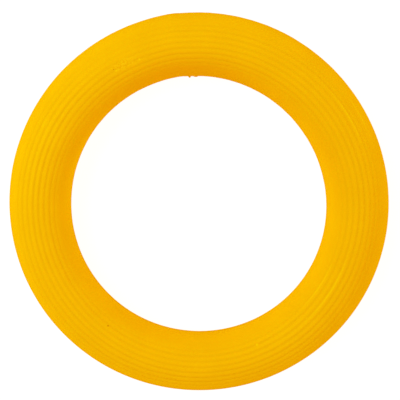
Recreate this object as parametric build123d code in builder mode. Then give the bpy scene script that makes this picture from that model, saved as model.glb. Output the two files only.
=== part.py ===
from build123d import *

import os
from math import cos, degrees, radians, sin

# A buoyant throwing ring. Two moulded rubber skins, ribbed on their faces, meet on a flat parting
# plane. Two tie strips bond them together from the inside. They hold a closed-cell foam core: a
# round rod bent into a hoop, with its two ends pegged by a dowel and wrapped with tape.
#
# Sizes are in millimetres. The origin is the centre of the ring, on the parting plane, and +Z is
# the ring's axis. A ring angle is in degrees about +Z, from +X towards +Y. A section angle is in
# degrees about the centre line of the tube, from its crown towards the outside of the ring.

# Driving dimensions of the ring
ring_diameter = 180.0
section_diameter = 29.0
skin_thickness = 3.0

# Ribbing, the same on both faces
grooves_per_face = 8
groove_pitch = 10.5  # section angle from one groove to the next
groove_depth = 0.32
groove_mouth = 1.4
groove_lip_radius = 0.4
crown_land_width = 0.7  # flat on the ridge at the crown, where the ring rests

# Tie strips behind the parting line, and the rebates that hold them
tie_strip_width = 5.6
tie_strip_thickness = 1.0
tie_strip_clearance = 0.1
rebate_width = 5.8
rim_lip = 1.8  # rubber left between a rebate and the outside

# Tags of mould flash on the inner rim of the upper skin: ring angle, width and length
flash_tags = [(91.0, 2.0, 0.5), (94.0, 1.0, 0.8)]
flash_thickness = 0.4
flash_root = 0.6  # length buried in the rim

# Foam core and its splice
core_clearance = 0.3
splice_angle = 100.0
splice_gap = 0.4  # left between the two ends of the rod, along the centre line
dowel_diameter = 8.0
dowel_length = 24.0
dowel_clearance = 0.1
dowel_hole_length = 25.0
wrap_width = 16.0
wrap_thickness = 0.2
wrap_clearance = 0.05

# Sizes worked out from the driving dimensions
section_radius = section_diameter / 2
centre_line_radius = ring_diameter / 2 - section_radius
inner_rim_radius = centre_line_radius - section_radius
cavity_radius = section_radius - skin_thickness
rebate_reach = section_radius - rim_lip  # from the tube's centre to the back of a rebate
tie_strip_reach = rebate_reach - tie_strip_clearance - tie_strip_thickness / 2
core_radius = cavity_radius - core_clearance
crown_height = (section_radius**2 - (crown_land_width / 2) ** 2) ** 0.5

# A groove is cut by a circle that bites groove_depth into the section and is groove_mouth wide there
groove_cutter_radius = (groove_mouth**2 / 4 + groove_depth**2) / (2 * groove_depth)
groove_cutter_reach = section_radius - groove_depth + groove_cutter_radius
groove_angles = [groove_pitch * (index - (grooves_per_face - 1) / 2) for index in range(grooves_per_face)]


def arc_angle(length):
    """Ring angle that spans a length measured along the centre line of the tube."""
    return degrees(length / centre_line_radius)


def radial_plane(ring_angle):
    """Plane through the ring's axis at a ring angle, with its x outwards and its y along +Z."""
    outwards = Vector(1, 0, 0).rotate(Axis.Z, ring_angle)
    back = Vector(0, -1, 0).rotate(Axis.Z, ring_angle)
    return Plane(origin=(0, 0, 0), x_dir=outwards, z_dir=back)


def is_groove_lip(vertex):
    """True for a corner of the skin's sketch where a groove meets the outer surface."""
    reach = ((vertex.X - centre_line_radius) ** 2 + vertex.Y**2) ** 0.5
    return reach > section_radius - groove_depth / 2 and vertex.Y > section_radius / 2


# Half of the hollow tube above the parting plane, ribbed, and rebated for the tie strips
with BuildPart() as plain_skin:
    with BuildSketch(Plane.XZ) as skin_section:
        with Locations((centre_line_radius, 0)):
            Circle(section_radius)
            Circle(cavity_radius, mode=Mode.SUBTRACT)
            Rectangle(2 * rebate_reach, rebate_width, mode=Mode.SUBTRACT)
            Rectangle(
                2 * section_diameter,
                section_diameter,
                align=(Align.CENTER, Align.MAX),
                mode=Mode.SUBTRACT,
            )
        for angle in groove_angles:
            across = centre_line_radius + groove_cutter_reach * sin(radians(angle))
            up = groove_cutter_reach * cos(radians(angle))
            with Locations((across, up)):
                Circle(groove_cutter_radius, mode=Mode.SUBTRACT)
        fillet(skin_section.vertices().filter_by(is_groove_lip), groove_lip_radius)
        with Locations((centre_line_radius, crown_height)):
            Rectangle(
                section_diameter,
                section_diameter,
                align=(Align.CENTER, Align.MIN),
                mode=Mode.SUBTRACT,
            )
    revolve(axis=Axis.Z)

# Upper skin, with its tags of flash standing on the parting plane
with BuildPart() as upper_skin:
    add(plain_skin.part)
    for tag_angle, tag_width, tag_length in flash_tags:
        with PolarLocations(inner_rim_radius - tag_length, 1, start_angle=tag_angle):
            Box(
                tag_length + flash_root,
                tag_width,
                flash_thickness,
                align=(Align.MIN, Align.CENTER, Align.MIN),
            )
upper_skin.part.label = "upper_skin"

# Lower skin, the mirror image of the plain one
with BuildPart() as lower_skin:
    mirror(plain_skin.part, about=Plane.XY)
lower_skin.part.label = "lower_skin"

# Flat hoops that bridge the parting line from behind, one at each rim
with BuildPart() as outer_tie_strip:
    with BuildSketch(Plane.XZ):
        with Locations((centre_line_radius + tie_strip_reach, 0)):
            Rectangle(tie_strip_thickness, tie_strip_width)
    revolve(axis=Axis.Z)
outer_tie_strip.part.label = "outer_tie_strip"

with BuildPart() as inner_tie_strip:
    with BuildSketch(Plane.XZ):
        with Locations((centre_line_radius - tie_strip_reach, 0)):
            Rectangle(tie_strip_thickness, tie_strip_width)
    revolve(axis=Axis.Z)
inner_tie_strip.part.label = "inner_tie_strip"

# Foam rod bent into a hoop, bored at both ends for the dowel
with BuildPart() as foam_core:
    with BuildSketch(radial_plane(splice_angle + arc_angle(splice_gap) / 2)):
        with Locations((centre_line_radius, 0)):
            Circle(core_radius)
    revolve(axis=Axis.Z, revolution_arc=360 - arc_angle(splice_gap))
    with BuildSketch(radial_plane(splice_angle - arc_angle(dowel_hole_length) / 2)):
        with Locations((centre_line_radius, 0)):
            Circle(dowel_diameter / 2 + dowel_clearance)
    revolve(axis=Axis.Z, revolution_arc=arc_angle(dowel_hole_length), mode=Mode.SUBTRACT)
foam_core.part.label = "foam_core"

# Foam dowel that pegs the two ends of the rod together
with BuildPart() as core_dowel:
    with BuildSketch(radial_plane(splice_angle - arc_angle(dowel_length) / 2)):
        with Locations((centre_line_radius, 0)):
            Circle(dowel_diameter / 2)
    revolve(axis=Axis.Z, revolution_arc=arc_angle(dowel_length))
core_dowel.part.label = "core_dowel"

# Cloth tape wrapped once round the rod over the splice
with BuildPart() as core_wrap:
    with BuildSketch(radial_plane(splice_angle - arc_angle(wrap_width) / 2)):
        with Locations((centre_line_radius, 0)):
            Circle(core_radius + wrap_clearance + wrap_thickness)
            Circle(core_radius + wrap_clearance, mode=Mode.SUBTRACT)
    revolve(axis=Axis.Z, revolution_arc=arc_angle(wrap_width))
core_wrap.part.label = "core_wrap"

os.makedirs("parts", exist_ok=True)
export_step(upper_skin.part, "parts/upper_skin.step")
export_step(lower_skin.part, "parts/lower_skin.step")
export_step(outer_tie_strip.part, "parts/outer_tie_strip.step")
export_step(inner_tie_strip.part, "parts/inner_tie_strip.step")
export_step(foam_core.part, "parts/foam_core.step")
export_step(core_dowel.part, "parts/core_dowel.step")
export_step(core_wrap.part, "parts/core_wrap.step")
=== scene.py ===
from math import atan2, copysign, cos, exp, pi, radians, sin, sqrt

import bmesh
import bpy
from mathutils import Matrix, Vector, noise


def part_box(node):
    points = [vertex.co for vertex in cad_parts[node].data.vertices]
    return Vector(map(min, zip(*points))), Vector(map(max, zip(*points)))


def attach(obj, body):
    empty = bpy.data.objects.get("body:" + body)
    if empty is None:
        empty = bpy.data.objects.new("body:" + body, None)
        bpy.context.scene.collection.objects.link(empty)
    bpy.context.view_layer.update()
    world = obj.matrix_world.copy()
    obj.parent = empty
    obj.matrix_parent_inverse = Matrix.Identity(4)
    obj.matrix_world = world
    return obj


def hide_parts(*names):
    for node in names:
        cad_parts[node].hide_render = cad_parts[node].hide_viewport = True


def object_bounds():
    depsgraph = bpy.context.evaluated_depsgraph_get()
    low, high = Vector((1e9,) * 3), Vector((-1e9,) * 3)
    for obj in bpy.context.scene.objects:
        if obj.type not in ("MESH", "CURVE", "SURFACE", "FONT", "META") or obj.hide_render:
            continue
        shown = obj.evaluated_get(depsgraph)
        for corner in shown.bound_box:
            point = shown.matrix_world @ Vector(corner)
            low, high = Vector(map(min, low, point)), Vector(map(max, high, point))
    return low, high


# A ribbed rubber throwing ring, lying flat. Everything is in metres, in the frame's axes: the origin
# is the centre of the ring, +Z is its axis and Z = 0 is the parting plane.
#
# A place on the ring is given by three values. The ring angle runs about +Z from +X towards +Y. The
# section angle runs about the centre line of the tube, from the crown towards the outside of the
# ring, and is the same on both halves. The third is the distance from the centre line.

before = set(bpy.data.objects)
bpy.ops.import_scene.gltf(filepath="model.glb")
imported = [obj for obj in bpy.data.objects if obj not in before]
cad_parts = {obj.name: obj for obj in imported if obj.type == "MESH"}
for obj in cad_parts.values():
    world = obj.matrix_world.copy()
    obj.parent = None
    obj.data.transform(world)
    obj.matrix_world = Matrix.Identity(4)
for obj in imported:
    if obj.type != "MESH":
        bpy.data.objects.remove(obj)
cad_low, cad_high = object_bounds()

MM = 0.001
FULL_TURN = 2 * pi

# Sizes taken from the frame
OUTER_RADIUS = cad_high.x
SECTION_RADIUS = cad_high.z
CORE_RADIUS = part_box("foam_core")[1].z
DOWEL_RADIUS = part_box("core_dowel")[1].z
STRIP_HALF_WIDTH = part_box("outer_tie_strip")[1].z
STRIP_OUTER_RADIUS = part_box("outer_tie_strip")[1].x

# Sizes of the moulding. A reach is a distance from the tube's centre line, towards a rim.
CENTRE_LINE_RADIUS = OUTER_RADIUS - SECTION_RADIUS
INNER_RADIUS = CENTRE_LINE_RADIUS - SECTION_RADIUS
CORE_CLEARANCE = 0.3 * MM
CAVITY_RADIUS = CORE_RADIUS + CORE_CLEARANCE
STRIP_CLEARANCE = 0.1 * MM
STRIP_THICKNESS = 1.0 * MM
STRIP_REACH = STRIP_OUTER_RADIUS - CENTRE_LINE_RADIUS
REBATE_REACH = STRIP_REACH + STRIP_CLEARANCE
REBATE_HALF_WIDTH = STRIP_HALF_WIDTH + STRIP_CLEARANCE

# Ribbing
GROOVES = 8
GROOVE_PITCH = radians(10.5)
GROOVE_DEPTH = 0.19 * MM
GROOVE_SPREAD = radians(2.4)
GROOVE_UNEVENNESS = 0.25  # the depth wavers by up to this share
CROWN_DEEPENING = 0.6  # the middle grooves are deeper by up to this share, on two sides of the ring
CROWN_SPREAD = radians(9)
RIBBED_HALF_ANGLE = GROOVE_PITCH * GROOVES / 2
RIB_OFFSET = 0.66 * MM  # how far off the ring's centre the ribs are centred
RIB_OFFSET_ANGLE = radians(326)
RIB_SWAY = 0.29 * MM  # how far they sway to and fro, three times round the ring
RIB_SWAY_ANGLE = radians(33)
RIB_STRETCH = 0.03  # how far they spread from the crown, four times round the ring

# How the soft ring departs from a true one
OVAL_ANGLE = radians(97)
OVAL_SWING = 0.24 * MM
LOBE_SWING = 0.14 * MM
THICK_SIDE_SWING = 0.21 * MM
PINCH_ANGLE = radians(21)
PINCH_SWING = 0.13 * MM
FLANK_START = radians(30)  # section angle where the thick side and the pinch start to show
FLANK_FULL = radians(80)  # and where they show in full
SURFACE_WANDER = 0.04 * MM

# Seeds of each skin's unevenness, and its fineness: features per radian round the ring and across it
UPPER_SEED = 0.0
LOWER_SEED = 7.0
WANDER_FINENESS = (6, 2)
GROOVE_FINENESS = (14, 9)
FIN_FINENESS = (40, 1)

# Splice of the core. The bent rod's ends push the ring outwards, more sharply on one side.
SPLICE_ANGLE = radians(100)
SPLICE_GAP = 0.4 * MM
PUSH_ANGLE = radians(97.5)
PUSH_RISE = radians(2.4)
PUSH_FALL = radians(7)
PUSH = 0.3 * MM
DOWEL_LENGTH = 24 * MM
DOWEL_BORE_LENGTH = 25 * MM
DOWEL_CLEARANCE = 0.1 * MM
WRAP_WIDTH = 16 * MM

# Flash left on the parting line: a ragged fin, whose height is a mean and a swing in shares of
# FIN_HEIGHT, and tags. A tag has a ring angle, a width and a length.
FIN_HEIGHT = 0.08 * MM
FIN_MEAN, FIN_SWING = 0.6, 0.8
FIN_SPREAD = radians(0.9)
SEAM_SPREAD = radians(1.0)
FLASH_TAGS = ((radians(91), 2.0 * MM, 0.35 * MM), (radians(93.7), 1.0 * MM, 0.65 * MM))
TAG_CORNERS = (0.5, 1.3)  # shares of a tag's half width between which its length falls to nothing
TAG_FACE = (radians(1.1), radians(2.1))  # section angles from the rim between which it does too

# Patches on the skin. Each is a ring angle, a section angle, a half length round the ring and a half
# width across it, all in degrees, and a strength. All but the painted light and shade are on the upper
# skin only.
SCUFF_PLACE = (116.2, -1.5, 4.8, 9)
SCUFFS = ((*SCUFF_PLACE, 0.9),)
WORN_GROOVES = (  # strength: the share of the grooves' depth that wear has taken away
    (*SCUFF_PLACE, 0.5),
    (118, 27, 16, 22, 0.8),
    (125, -30, 45, 18, 0.3),
)
GLINTS_AND_SCRATCHES = (  # painted glints on the edges of ridges, and two short scratches
    (328, -12.4, 13, 1.5, 1.0),
    (327, -34, 9, 1.5, 1.0),
    (32, 22, 9, 1.5, 1.0),
    (30, 46.5, 6, 1.5, 1.0),
    (150.7, 22.7, 1.6, 1.2, 0.8),
    (150.1, 17.2, 1.2, 1.2, 0.6),
)
PAINTED_LIGHT_AND_SHADE = (  # strength: above 0 for painted light, below 0 for painted shade
    (97, -45, 28, 28, -0.8),
    (18, -38, 16, 22, -0.5),
    (347, 26, 22, 18, -0.65),
    (170, -70, 34, 16, 0.7),
    (158, 8, 30, 28, 0.65),
    (265, 50, 40, 20, 0.6),
    (308, -20, 20, 26, 0.45),
    (243, -60, 14, 14, -0.4),
)

# Specks on the upper skin. Each is a ring angle, a section angle and a radius.
DARK_SPECKS_AND_NICK_SHADE = (  # a pinhole, and painted shade on one wall of a nick beside the scuff
    (radians(232.8), radians(-23.5), 0.55 * MM),
    (radians(120.5), radians(-1.8), 0.35 * MM),
)
BRIGHT_SPECKS_AND_NICK_HIGHLIGHT = (  # a painted highlight on the nick's other wall, a rubbed spot and a bright spot
    (radians(119.9), radians(-5.8), 0.6 * MM),
    (radians(110.8), radians(-5.6), 0.6 * MM),
    (radians(293.7), radians(-25.6), 0.75 * MM),
)

# Studio. A light has a name, an azimuth and an elevation in degrees, a power and a colour. The
# surroundings are warm and the lights are short of red, so that the rubber's green changes more
# than its red does from a lit side to a shaded one, as in the photo.
WORLD_STRENGTH = 0.75
WORLD_COLOUR = (0.931, 0.564, 0.4, 1)
LIGHT_DISTANCE = 1.2
LIGHT_SIZE = 0.6
AREA_LIGHTS = (
    ("key", 135, 55, 5.86, (0.445, 1, 1)),
    ("left", 180, 55, 4.8, (0.555, 1, 1)),
    ("right", 0, 20, 3.84, (0.6, 1, 1)),
)

# Mesh density
RING_STEP = radians(0.8)
FINE_RING_STEP = radians(0.16)  # round the tags of flash
FINE_MIDDLE = radians(92.5)
FINE_REACH = radians(4.5)
RIM_ANGLES = (0, 0.4, 0.9, 1.4, 1.9, 2.6, 4)  # degrees from the rim, close together over the fin
FLANK_STEP = radians(3)
POINTS_PER_GROOVE = 14
GROOVE_CROWDING = 1.5  # above 1, these points crowd towards the bottom of a groove
CAVITY_STEPS = 24
CORE_RING_STEPS = 300
ROD_SIDES = 64
SHARP_EDGE = radians(40)


def smooth_step(low, high, value):
    """0 below low, 1 above high, and a smooth rise between them."""
    share = min(1.0, max(0.0, (value - low) / (high - low)))
    return share * share * (3 - 2 * share)


def bell(distance, spread):
    """1 at no distance, falling smoothly to 0 over a few spreads."""
    return exp(-((distance / spread) ** 2))


def angle_between(first, second):
    """The smaller angle between two directions."""
    return abs((first - second + pi) % FULL_TURN - pi)


def ring_noise(ring_angle, across, fineness, seed):
    """Smooth noise, from -1 to 1, that closes on itself round the ring."""
    around, over = fineness
    x, y = cos(ring_angle) * around, sin(ring_angle) * around
    return noise.noise(Vector((x, y, across * over + seed)))


def arc_angle(length):
    """Ring angle that spans a length measured along the centre line of the tube."""
    return length / CENTRE_LINE_RADIUS


# ---------------------------------------------------------------- shape of the moulding


def centre_line(ring_angle):
    """Radius of the centre line, which isn't quite round and stands out where the core is spliced."""
    turn = ring_angle - OVAL_ANGLE
    spread = PUSH_RISE if sin(ring_angle - PUSH_ANGLE) < 0 else PUSH_FALL
    push = PUSH * bell(angle_between(ring_angle, PUSH_ANGLE), spread)
    return CENTRE_LINE_RADIUS + OVAL_SWING * cos(2 * turn) + LOBE_SWING * cos(3 * turn) + push


def flank_lift(ring_angle):
    """How far the flanks stand outside a true circle at a ring angle."""
    thick_side = THICK_SIDE_SWING * sin(ring_angle)
    pinch = PINCH_SWING * cos(2 * (ring_angle - PINCH_ANGLE))
    return thick_side + pinch


def slid(ring_angle, section_angle):
    """Section angle where a line of the ribbing lies, which isn't quite where it was meant to be."""
    offset = RIB_OFFSET * cos(ring_angle - RIB_OFFSET_ANGLE)
    sway = RIB_SWAY * cos(3 * (ring_angle - RIB_SWAY_ANGLE))
    stretch = RIB_STRETCH * (1 - cos(4 * ring_angle))
    moved = (offset + sway) / SECTION_RADIUS * cos(section_angle) ** 2
    return section_angle + moved + stretch * sin(2 * section_angle) / 2


def groove_share(ring_angle, section_angle):
    """0 on a ridge and about 1 at the bottom of a groove. The outermost grooves are shallower."""
    off_centre = section_angle % GROOVE_PITCH - GROOVE_PITCH / 2
    fade = smooth_step(RIBBED_HALF_ANGLE - GROOVE_PITCH, RIBBED_HALF_ANGLE, abs(section_angle))
    deepening = 1 + CROWN_DEEPENING * cos(ring_angle) ** 2 * bell(section_angle, CROWN_SPREAD)
    return (1 - fade) * deepening * bell(off_centre, GROOVE_SPREAD)


def patch_total(patches, ring_angle, section_angle):
    """Sum of the strengths of patches at a place. A patch fades out smoothly past its size."""
    total = 0.0
    for ring_middle, section_middle, half_length, half_width, strength in patches:
        along = bell(angle_between(ring_angle, radians(ring_middle)), radians(half_length))
        total += strength * along * bell(section_angle - radians(section_middle), radians(half_width))
    return total


def groove_left(ring_angle, section_angle, side):
    """groove_share, less what wear has taken away. Only the upper skin is worn."""
    gone = patch_total(WORN_GROOVES, ring_angle, section_angle) if side > 0 else 0.0
    return groove_share(ring_angle, section_angle) * (1 - gone)


def tag_length(ring_angle):
    """How far a tag of flash stands out of the inner rim at a ring angle."""
    start, finish = TAG_CORNERS
    length = 0.0
    for tag_angle, width, full_length in FLASH_TAGS:
        half = width / 2 / INNER_RADIUS
        off_centre = angle_between(ring_angle, tag_angle)
        length = max(length, full_length * (1 - smooth_step(start * half, finish * half, off_centre)))
    return length


def skin_radius(ring_angle, section_angle, side, seed):
    """Distance from the centre line to the outer surface of the upper (side 1) or lower skin."""
    from_rim = pi / 2 - abs(section_angle)
    flank = smooth_step(FLANK_START, FLANK_FULL, abs(section_angle))
    radius = SECTION_RADIUS + flank * flank_lift(ring_angle)
    radius += SURFACE_WANDER * ring_noise(ring_angle, section_angle, WANDER_FINENESS, seed)
    uneven = 1 + GROOVE_UNEVENNESS * ring_noise(ring_angle, section_angle, GROOVE_FINENESS, seed)
    radius -= GROOVE_DEPTH * uneven * groove_left(ring_angle, section_angle, side)
    ragged = max(0.0, FIN_MEAN + FIN_SWING * ring_noise(ring_angle, section_angle, FIN_FINENESS, seed))
    radius += FIN_HEIGHT * ragged * bell(from_rim, FIN_SPREAD)
    if side > 0 and section_angle < 0:
        radius += tag_length(ring_angle) * (1 - smooth_step(*TAG_FACE, from_rim))
    return radius


def surface_marks(ring_angle, section_angle, side):
    """What the skin's material is told of a place on it. Only the upper skin is scuffed, scratched and
    given painted glints.
    """
    marks = {
        "groove": groove_left(ring_angle, section_angle, side),
        "scuff": 0.0,
        "glints_and_scratches": 0.0,
        "seam": bell(pi / 2 - abs(section_angle), SEAM_SPREAD),
        "painted_light_and_shade": patch_total(PAINTED_LIGHT_AND_SHADE, ring_angle, section_angle),
    }
    if side > 0:
        marks["scuff"] = patch_total(SCUFFS, ring_angle, section_angle)
        marks["glints_and_scratches"] = patch_total(GLINTS_AND_SCRATCHES, ring_angle, section_angle)
    return marks


def upper_point(ring_angle, section_angle):
    """Point on the outer surface of the upper skin."""
    radius = skin_radius(ring_angle, section_angle, 1, UPPER_SEED)
    direction = slid(ring_angle, section_angle)
    return place_on_ring(ring_angle, radius * sin(direction), radius * cos(direction))


def ring_angles():
    """Ring angles of the cross-sections, closer together at the tags of flash."""
    angles = []
    angle = 0.0
    while angle < FULL_TURN - RING_STEP / 2:
        angles.append(angle)
        fine = angle_between(angle, FINE_MIDDLE) < FINE_REACH
        angle += FINE_RING_STEP if fine else RING_STEP
    return angles


def section_angles():
    """Section angles from the outer rim over the crown to the inner rim, finer in the grooves."""
    outer = [pi / 2 - radians(off) for off in RIM_ANGLES]
    while outer[-1] - FLANK_STEP > RIBBED_HALF_ANGLE + FLANK_STEP / 2:
        outer.append(outer[-1] - FLANK_STEP)
    ribbed = [RIBBED_HALF_ANGLE]
    for groove in range(GROOVES):
        middle = RIBBED_HALF_ANGLE - GROOVE_PITCH * (groove + 0.5)
        for point in range(1, POINTS_PER_GROOVE + 1):
            share = 2 * point / POINTS_PER_GROOVE - 1
            crowded = copysign(abs(share) ** GROOVE_CROWDING, share)
            ribbed.append(middle - crowded * GROOVE_PITCH / 2)
    return outer + ribbed + [-angle for angle in reversed(outer)]


def cavity_outline():
    """Points (across, up) of the inside of a skin, from the inner rim back to the outer rim."""
    edge_angle = atan2(sqrt(CAVITY_RADIUS**2 - REBATE_HALF_WIDTH**2), REBATE_HALF_WIDTH)
    arc = [edge_angle * (2 * step / CAVITY_STEPS - 1) for step in range(CAVITY_STEPS + 1)]
    start = [(-REBATE_REACH, 0.0), (-REBATE_REACH, REBATE_HALF_WIDTH)]
    middle = [(CAVITY_RADIUS * sin(angle), CAVITY_RADIUS * cos(angle)) for angle in arc]
    finish = [(REBATE_REACH, REBATE_HALF_WIDTH), (REBATE_REACH, 0.0)]
    return start + middle + finish


# ---------------------------------------------------------------- mesh helpers


def place_on_ring(ring_angle, across, up):
    """Point at a ring angle, a distance outwards from the centre line, and a height."""
    radius = centre_line(ring_angle) + across
    return (radius * cos(ring_angle), radius * sin(ring_angle), up)


def new_piece(name, points, faces, material, node):
    """Closed mesh object that rides on the ring and stands for a CAD node."""
    mesh = bpy.data.meshes.new(name)
    mesh.from_pydata(points, [], faces)
    shell = bmesh.new()
    shell.from_mesh(mesh)
    bmesh.ops.recalc_face_normals(shell, faces=shell.faces)
    shell.to_mesh(mesh)
    shell.free()
    mesh.shade_smooth()
    mesh.set_sharp_from_angle(angle=SHARP_EDGE)
    mesh.materials.append(material)
    piece = bpy.data.objects.new(name, mesh)
    bpy.context.scene.collection.objects.link(piece)
    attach(piece, "root")
    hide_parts(node)
    return piece


def store(piece, name, values):
    """Keep one number per point on a piece, for its material to read."""
    attribute = piece.data.attributes.new(name, "FLOAT", "POINT")
    attribute.data.foreach_set("value", values)


def closed_grid(rows, columns):
    """Faces of a grid that closes on itself both ways. Point numbers run along a row first."""
    faces = []
    for row in range(rows):
        after = (row + 1) % rows
        for column in range(columns):
            beside = (column + 1) % columns
            here, there = row * columns, after * columns
            faces.append((here + column, here + beside, there + beside, there + column))
    return faces


def slab(rows, columns, place):
    """Points and faces of a thin closed sheet.

    place(row, column, face) gives a point, where row and column run from 0 to 1 and face is 0 or 1.
    """
    points = []
    for face in (0, 1):
        for row in range(rows + 1):
            for column in range(columns + 1):
                points.append(place(row / rows, column / columns, face))

    def number(spot, face):
        return (face * (rows + 1) + spot[0]) * (columns + 1) + spot[1]

    faces = []
    for row in range(rows):
        for column in range(columns):
            corners = [(row, column), (row, column + 1), (row + 1, column + 1), (row + 1, column)]
            faces.append([number(corner, 0) for corner in corners])
            faces.append([number(corner, 1) for corner in reversed(corners)])
    border = [(0, column) for column in range(columns)]
    border += [(row, columns) for row in range(rows)]
    border += [(rows, column) for column in range(columns, 0, -1)]
    border += [(row, 0) for row in range(rows, 0, -1)]
    for spot, following in zip(border, border[1:] + border[:1]):
        faces.append([number(following, 0), number(spot, 0), number(spot, 1), number(following, 1)])
    return points, faces


def rod(stations):
    """Points and faces of a bar along the centre line, closed at both ends.

    A station is a ring angle and a radius.
    """
    points = []
    for ring_angle, radius in stations:
        for side in range(ROD_SIDES):
            angle = FULL_TURN * side / ROD_SIDES
            points.append(place_on_ring(ring_angle, radius * sin(angle), radius * cos(angle)))
    faces = []
    for station in range(len(stations) - 1):
        here, there = station * ROD_SIDES, (station + 1) * ROD_SIDES
        for side in range(ROD_SIDES):
            beside = (side + 1) % ROD_SIDES
            faces.append((here + side, here + beside, there + beside, there + side))
    last = (len(stations) - 1) * ROD_SIDES
    faces.append(list(range(ROD_SIDES)))
    faces.append([last + side for side in range(ROD_SIDES)])
    return points, faces


# ---------------------------------------------------------------- the pieces


def make_skin(name, node, side, seed, material):
    """One ribbed half of the skin. side is 1 for the upper half and -1 for the lower one."""
    around = ring_angles()
    angles = section_angles()
    inside = cavity_outline()
    points = []
    marks = []
    for ring_angle in around:
        for section_angle in angles:
            radius = skin_radius(ring_angle, section_angle, side, seed)
            direction = slid(ring_angle, section_angle)
            up = max(0.0, radius * cos(direction))
            points.append(place_on_ring(ring_angle, radius * sin(direction), side * up))
            marks.append(surface_marks(ring_angle, section_angle, side))
        for across, up in inside:
            points.append(place_on_ring(ring_angle, across, side * up))
            marks.append({})
    faces = closed_grid(len(around), len(angles) + len(inside))
    piece = new_piece(name, points, faces, material, node)
    for mark in marks[0]:
        store(piece, mark, [found.get(mark, 0.0) for found in marks])


def make_tie_strip(name, node, side, material):
    """Flat strip behind the outer (side 1) or inner rim, with its ends cut on a slant, a little apart.
    """
    rows, columns = 400, 10
    joint_angle = radians(40) if side > 0 else radians(220)
    joint_gap = arc_angle(0.3 * MM)
    skive = 1.2  # length along the ring for each unit of height
    trim = 0.004  # share of the width left off, so that a wavering edge stays within it
    waver = 0.03 * MM
    fineness = (30, 3)
    edge_power = 8  # the higher, the closer to the edges the wavering keeps

    def place(row, column, face):
        up = STRIP_HALF_WIDTH * (2 * column - 1)
        ring_angle = joint_angle + arc_angle(skive * up) + row * (FULL_TURN - joint_gap)
        edge = abs(2 * column - 1) ** edge_power
        wavered = waver * ring_noise(ring_angle, column, fineness, side)
        across = side * (STRIP_REACH - STRIP_THICKNESS * face)
        return place_on_ring(ring_angle, across, up * (1 - trim * edge) + wavered * edge)

    points, faces = slab(rows, columns, place)
    new_piece(name, points, faces, material, node)


def make_foam_core(material):
    """Foam rod bent into a hoop, butted at the splice and bored there for the dowel."""
    half_gap = arc_angle(SPLICE_GAP / 2)
    start, end = SPLICE_ANGLE + half_gap, SPLICE_ANGLE + FULL_TURN - half_gap
    rounding = 0.25 * MM
    pitting = 0.08 * MM
    fineness = (20, 1)
    seed = 3
    bore = DOWEL_RADIUS + DOWEL_CLEARANCE
    bore_end = arc_angle(DOWEL_BORE_LENGTH / 2)
    bore_steps = 12
    into_bore = [bore_end + (half_gap - bore_end) * step / bore_steps for step in range(bore_steps + 1)]
    stations = [(SPLICE_ANGLE + angle, bore) for angle in into_bore]
    stations.append((start, CORE_RADIUS - rounding))
    for step in range(CORE_RING_STEPS + 1):
        share = step / CORE_RING_STEPS
        ring_angle = start + arc_angle(rounding) + share * (end - start - 2 * arc_angle(rounding))
        pitted = 0.5 - 0.5 * ring_noise(ring_angle, 0, fineness, seed)
        stations.append((ring_angle, CORE_RADIUS - pitting * pitted))
    stations.append((end, CORE_RADIUS - rounding))
    stations += [(SPLICE_ANGLE + FULL_TURN - angle, bore) for angle in reversed(into_bore)]
    points, faces = rod(stations)
    new_piece("foam_core_rod", points, faces, material, "foam_core")


def make_dowel(material):
    """Foam peg with bevelled ends that joins the two ends of the rod."""
    bevel = 0.5 * MM
    unevenness = 0.03 * MM
    half = DOWEL_LENGTH / 2
    steps = 24
    stations = [(SPLICE_ANGLE - arc_angle(half), DOWEL_RADIUS - bevel)]
    for step in range(steps + 1):
        along = (half - bevel) * (2 * step / steps - 1)
        worn = unevenness * (0.5 + 0.5 * noise.noise(Vector((along / MM, 0, 0))))
        stations.append((SPLICE_ANGLE + arc_angle(along), DOWEL_RADIUS - worn))
    stations.append((SPLICE_ANGLE + arc_angle(half), DOWEL_RADIUS - bevel))
    points, faces = rod(stations)
    new_piece("core_dowel_peg", points, faces, material, "core_dowel")


def make_core_wrap(material):
    """Cloth tape wound once round the rod over the splice, with its end lapped over its start."""
    rows, columns = 150, 16
    thickness = 0.1 * MM
    clearance = 0.04 * MM
    lap_clearance = 0.03 * MM
    lap = radians(35)
    wind = FULL_TURN + lap
    fraying = 0.15 * MM
    fray_fineness = 40
    edge_shift = 9  # makes one edge fray unlike the other
    seed = 5
    edge_power = 6  # the higher, the closer to the edges the fraying keeps

    def place(row, column, face):
        lifted = smooth_step(FULL_TURN - lap, FULL_TURN, wind * row)
        radius = CORE_RADIUS + clearance + thickness * face + (thickness + lap_clearance) * lifted
        edge = abs(2 * column - 1) ** edge_power
        fray_place = Vector((fray_fineness * row, edge_shift * round(column), seed))
        frayed = fraying * edge * noise.noise(fray_place)
        along = WRAP_WIDTH * (column - 0.5) + frayed
        turn = pi + wind * row
        return place_on_ring(SPLICE_ANGLE + arc_angle(along), radius * sin(turn), radius * cos(turn))

    points, faces = slab(rows, columns, place)
    piece = new_piece("core_wrap_tape", points, faces, material, "core_wrap")
    warp = [wind * CORE_RADIUS * row / rows for row in range(rows + 1) for column in range(columns + 1)]
    weft = [WRAP_WIDTH * column / columns for row in range(rows + 1) for column in range(columns + 1)]
    store(piece, "warp", 2 * warp)  # the same on both faces of the tape
    store(piece, "weft", 2 * weft)


# ---------------------------------------------------------------- materials


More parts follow.
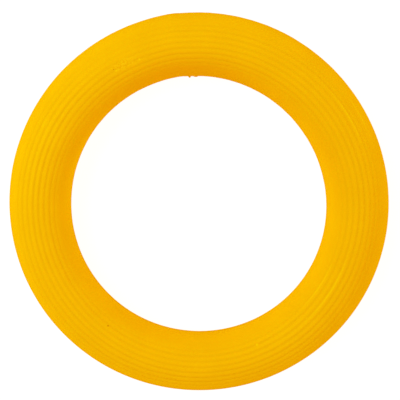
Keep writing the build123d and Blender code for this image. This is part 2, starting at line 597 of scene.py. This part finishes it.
class Nodes:
    """A new material's node tree, with short ways to add and join nodes."""

    def __init__(self, name):
        self.material = bpy.data.materials.new(name)
        self.material.use_nodes = True
        self.tree = self.material.node_tree
        self.shader = self.tree.nodes["Principled BSDF"]

    def add(self, kind, inputs, **settings):
        """New node. An input is given by name or number, as a value or as another node's output."""
        node = self.tree.nodes.new(kind)
        for key, value in settings.items():
            setattr(node, key, value)
        for key, value in inputs.items():
            self.feed(node.inputs[key], value)
        return node

    def feed(self, socket, value):
        """Set a socket to a value, or join it to another node's output."""
        if isinstance(value, bpy.types.NodeSocket):
            self.tree.links.new(value, socket)
        else:
            socket.default_value = value

    def place(self):
        """The point's place on the object."""
        return self.add("ShaderNodeNewGeometry", {}).outputs["Position"]

    def noise(self, size, detail=3.0):
        """Noise from 0 to 1 with features of about that size."""
        inputs = {"Vector": self.place(), "Scale": 1 / size, "Detail": detail}
        return self.add("ShaderNodeTexNoise", inputs).outputs["Fac"]

    def near(self, spot, radius):
        """1 close to a spot, falling to 0 at a radius from it."""
        inputs = {0: self.place(), 1: spot}
        apart = self.add("ShaderNodeVectorMath", inputs, operation="DISTANCE").outputs["Value"]
        full_radius = 0.4 * radius
        return self.between(apart, full_radius, radius, start=1, end=0)

    def kept(self, name):
        """A number stored on the mesh."""
        return self.add("ShaderNodeAttribute", {}, attribute_name=name).outputs["Fac"]

    def maths(self, operation, first, second):
        """One sum, with the result as a socket."""
        return self.add("ShaderNodeMath", {0: first, 1: second}, operation=operation).outputs[0]

    def between(self, value, low, high, start=0.0, end=1.0):
        """value's place between low and high, spread from start to end."""
        inputs = {"Value": value, "From Min": low, "From Max": high, "To Min": start, "To Max": end}
        return self.add("ShaderNodeMapRange", inputs).outputs["Result"]

    def mix(self, share, first, second):
        """Colour between two colours."""
        node = self.add("ShaderNodeMix", {"Factor": share}, data_type="RGBA")
        self.feed(node.inputs[6], first)
        self.feed(node.inputs[7], second)
        return node.outputs[2]

    def bump(self, height, distance, strength):
        """Feed the shader's normal with a bump of that height."""
        inputs = {"Height": height, "Distance": distance, "Strength": strength}
        self.feed(self.shader.inputs["Normal"], self.add("ShaderNodeBump", inputs).outputs["Normal"])


def skin_rubber():
    """Satin yellow rubber, mottled, with painted light and shade in patches, dust and painted shade in
    the grooves, painted glints, marks and a grain.
    """
    nodes = Nodes("skin_rubber")
    fresh, faded = (0.93, 0.475, 0.0008, 1), (0.9, 0.45, 0.0008, 1)
    painted_light_tint, painted_shade_tint = (0.955, 0.52, 0.0008, 1), (0.885, 0.4, 0.0008, 1)
    dust_and_shade_tint, dirt_and_shade = (0.86, 0.428, 0.001, 1), (0.66, 0.24, 0.001, 1)
    bare, highlight_and_mark_bright = (0.95, 0.54, 0.004, 1), (0.95, 0.555, 0.001, 1)
    crack_dirt, seam_dirt = 0.25, 0.7
    dust_roughness, scuff_relief = 0.2, 0.6

    mottle = nodes.between(nodes.noise(14 * MM, detail=4), 0.3, 0.7)
    colour = nodes.mix(mottle, fresh, faded)
    # Painted light where the patches are above 0, painted shade where they are below 0.
    painted_light_and_shade = nodes.kept("painted_light_and_shade")
    colour = nodes.mix(nodes.between(painted_light_and_shade, 0, 1), colour, painted_light_tint)
    colour = nodes.mix(nodes.between(painted_light_and_shade, 0, -1), colour, painted_shade_tint)

    # Darker in the grooves: painted shade, and dust that has settled there.
    settled = nodes.between(nodes.noise(4 * MM), 0.2, 0.8, start=0.5, end=1)
    dust_and_shade = nodes.maths("MULTIPLY", nodes.kept("groove"), settled)
    colour = nodes.mix(dust_and_shade, colour, dust_and_shade_tint)

    crazing = nodes.noise(0.8 * MM, detail=2)
    scuffed = nodes.maths("MULTIPLY", nodes.kept("scuff"), nodes.between(crazing, 0.5, 0.62))
    cracked = nodes.maths("MULTIPLY", nodes.kept("scuff"), nodes.between(crazing, 0.45, 0.38))
    colour = nodes.mix(scuffed, colour, bare)
    colour = nodes.mix(nodes.maths("MULTIPLY", cracked, crack_dirt), colour, dirt_and_shade)
    # Painted glints along the edges of ridges, and two short scratches.
    colour = nodes.mix(nodes.kept("glints_and_scratches"), colour, highlight_and_mark_bright)
    colour = nodes.mix(nodes.maths("MULTIPLY", nodes.kept("seam"), seam_dirt), colour, dirt_and_shade)
    # Dark specks: a pinhole and painted shade in a nick. Bright specks: a painted highlight in the nick
    # and two spots.
    for specks, tint in ((DARK_SPECKS_AND_NICK_SHADE, dirt_and_shade), (BRIGHT_SPECKS_AND_NICK_HIGHLIGHT, highlight_and_mark_bright)):
        for ring_angle, section_angle, radius in specks:
            speck = nodes.near(upper_point(ring_angle, section_angle), radius)
            colour = nodes.mix(speck, colour, tint)

    shader = nodes.shader
    nodes.feed(shader.inputs["Base Color"], colour)
    smear = nodes.between(nodes.noise(9 * MM), 0.3, 0.7, start=0.34, end=0.42)
    roughness = nodes.maths("ADD", smear, nodes.maths("MULTIPLY", dust_and_shade, dust_roughness))
    nodes.feed(shader.inputs["Roughness"], roughness)
    shader.inputs["Specular IOR Level"].default_value = 0.0
    shader.inputs["Specular Tint"].default_value = (1.0, 0.55, 0.0, 1)
    shader.inputs["Metallic"].default_value = 0.08
    shader.inputs["Subsurface Weight"].default_value = 0.06
    shader.inputs["Subsurface Radius"].default_value = (1.0, 0.5, 0.05)
    shader.inputs["Subsurface Scale"].default_value = 0.8 * MM
    grain = nodes.maths("ADD", nodes.noise(0.4 * MM), nodes.maths("MULTIPLY", scuffed, scuff_relief))
    nodes.bump(grain, distance=0.05 * MM, strength=0.15)
    return nodes.material


def tie_gum():
    """Matt amber gum rubber, chalked against sticking."""
    nodes = Nodes("tie_gum")
    amber, brown, chalky = (0.42, 0.25, 0.08, 1), (0.34, 0.19, 0.06, 1), (0.7, 0.66, 0.58, 1)
    chalk = nodes.between(nodes.noise(3 * MM, detail=5), 0.5, 0.75, start=0, end=0.6)
    gum = nodes.mix(nodes.noise(20 * MM), amber, brown)
    nodes.feed(nodes.shader.inputs["Base Color"], nodes.mix(chalk, gum, chalky))
    nodes.feed(nodes.shader.inputs["Roughness"], nodes.between(chalk, 0, 0.6, start=0.55, end=0.9))
    nodes.bump(nodes.noise(0.5 * MM), distance=0.05 * MM, strength=0.4)
    return nodes.material


def core_foam():
    """Off-white closed-cell foam with its cells showing."""
    nodes = Nodes("core_foam")
    clean, aged, pale_wall = (0.8, 0.78, 0.7, 1), (0.74, 0.71, 0.61, 1), (0.86, 0.84, 0.78, 1)
    cell_size = 0.9 * MM
    inputs = {"Vector": nodes.place(), "Scale": 1 / cell_size}
    cell = nodes.add("ShaderNodeTexVoronoi", inputs).outputs["Distance"]
    wall = nodes.between(cell, 0.2, 0.7)
    foam_colour = nodes.mix(nodes.noise(12 * MM), clean, aged)
    nodes.feed(nodes.shader.inputs["Base Color"], nodes.mix(wall, foam_colour, pale_wall))
    nodes.feed(nodes.shader.inputs["Roughness"], nodes.between(cell, 0, 0.8, start=0.75, end=0.95))
    nodes.bump(wall, distance=0.15 * MM, strength=0.5)
    return nodes.material


def wrap_tape():
    """Unbleached cotton tape in plain weave."""
    nodes = Nodes("wrap_tape")
    low, high, stain = (0.56, 0.53, 0.46, 1), (0.74, 0.71, 0.64, 1), (0.5, 0.44, 0.32, 1)
    thread = 0.45 * MM
    waves = []
    for direction in ("warp", "weft"):
        phase = nodes.maths("MULTIPLY", nodes.kept(direction), pi / thread)
        waves.append(nodes.maths("SINE", phase, 0.0))
    weave = nodes.between(nodes.maths("MULTIPLY", waves[0], waves[1]), -1, 1)
    cotton = nodes.mix(weave, low, high)
    stained = nodes.between(nodes.noise(5 * MM), 0.5, 0.8, start=0, end=0.4)
    nodes.feed(nodes.shader.inputs["Base Color"], nodes.mix(stained, cotton, stain))
    nodes.feed(nodes.shader.inputs["Roughness"], nodes.between(weave, 0, 1, start=0.95, end=0.8))
    nodes.bump(weave, distance=0.08 * MM, strength=0.6)
    return nodes.material


def pale_floor():
    """Plain white floor, lit from within so that shadows stay faint."""
    nodes = Nodes("pale_floor")
    nodes.shader.inputs["Base Color"].default_value = (0.15, 0.15, 0.15, 1)
    nodes.shader.inputs["Roughness"].default_value = 0.9
    nodes.shader.inputs["Specular IOR Level"].default_value = 0.0
    nodes.shader.inputs["Emission Color"].default_value = (1, 1, 1, 1)
    nodes.shader.inputs["Emission Strength"].default_value = 0.93
    return nodes.material


# ---------------------------------------------------------------- stage, light and camera


def make_floor():
    """Wide flat floor that the ring lies on."""
    half = 3.0
    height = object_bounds()[0].z
    corners = [(x * half, y * half, height) for x, y in ((-1, -1), (1, -1), (1, 1), (-1, 1))]
    mesh = bpy.data.meshes.new("floor")
    mesh.from_pydata(corners, [], [(0, 1, 2, 3)])
    mesh.materials.append(pale_floor())
    floor = bpy.data.objects.new("floor", mesh)
    bpy.context.scene.collection.objects.link(floor)


def turned_to(back):
    """Rotation of a camera or light whose back points that way, with its own up nearest +Y."""
    right = Vector((0, 1, 0)).cross(back).normalized()
    return Matrix((right, back.cross(right), back)).transposed()


def make_area_light(name, azimuth, elevation, power, colour):
    """Square soft light that faces the ring from a direction given in degrees."""
    light = bpy.data.lights.new(name, "AREA")
    light.size = LIGHT_SIZE
    light.energy = power
    light.color = colour
    holder = bpy.data.objects.new(name, light)
    around, above = radians(azimuth), radians(elevation)
    outwards = Vector((cos(around) * cos(above), sin(around) * cos(above), sin(above)))
    holder.location = outwards * LIGHT_DISTANCE
    holder.rotation_euler = turned_to(outwards).to_euler()
    holder.visible_glossy = False
    bpy.context.scene.collection.objects.link(holder)


def make_world(strength, colour):
    """Even surroundings that light the ring with a colour but look white to the camera."""
    world = bpy.data.worlds.new("studio")
    world.use_nodes = True
    tree = world.node_tree
    background = tree.nodes["Background"]
    background.inputs["Strength"].default_value = strength
    white = 1 / strength  # comes out as 1 once the strength is applied
    looks = tree.nodes.new("ShaderNodeMix")
    looks.data_type = "RGBA"
    looks.inputs[6].default_value = colour
    looks.inputs[7].default_value = (white, white, white, 1)
    rays = tree.nodes.new("ShaderNodeLightPath")
    tree.links.new(rays.outputs["Is Camera Ray"], looks.inputs["Factor"])
    tree.links.new(looks.outputs[2], background.inputs["Color"])
    bpy.context.scene.world = world


def make_camera():
    """Camera looking almost straight down the ring's axis, a little past its centre."""
    data = bpy.data.cameras.new("camera")
    data.lens = 91
    data.sensor_width = 36
    camera = bpy.data.objects.new("camera", data)
    tilt, towards = radians(7.69), radians(77.5)
    distance = 5.332 * OUTER_RADIUS
    aim = Vector((0.9, 2.83, 0)) * MM
    back = Vector((sin(tilt) * cos(towards), sin(tilt) * sin(towards), cos(tilt)))
    camera.location = aim + back * distance
    camera.rotation_euler = turned_to(back).to_euler()
    bpy.context.scene.collection.objects.link(camera)
    bpy.context.scene.camera = camera


rubber, gum, foam = skin_rubber(), tie_gum(), core_foam()
make_skin("upper_skin_moulded", "upper_skin", 1, UPPER_SEED, rubber)
make_skin("lower_skin_moulded", "lower_skin", -1, LOWER_SEED, rubber)
make_tie_strip("outer_tie_strip_cut", "outer_tie_strip", 1, gum)
make_tie_strip("inner_tie_strip_cut", "inner_tie_strip", -1, gum)
make_foam_core(foam)
make_dowel(foam)
make_core_wrap(wrap_tape())

make_floor()
make_world(WORLD_STRENGTH, WORLD_COLOUR)
for light in AREA_LIGHTS:
    make_area_light(*light)
make_camera()
bpy.context.scene.view_settings.view_transform = "Standard"
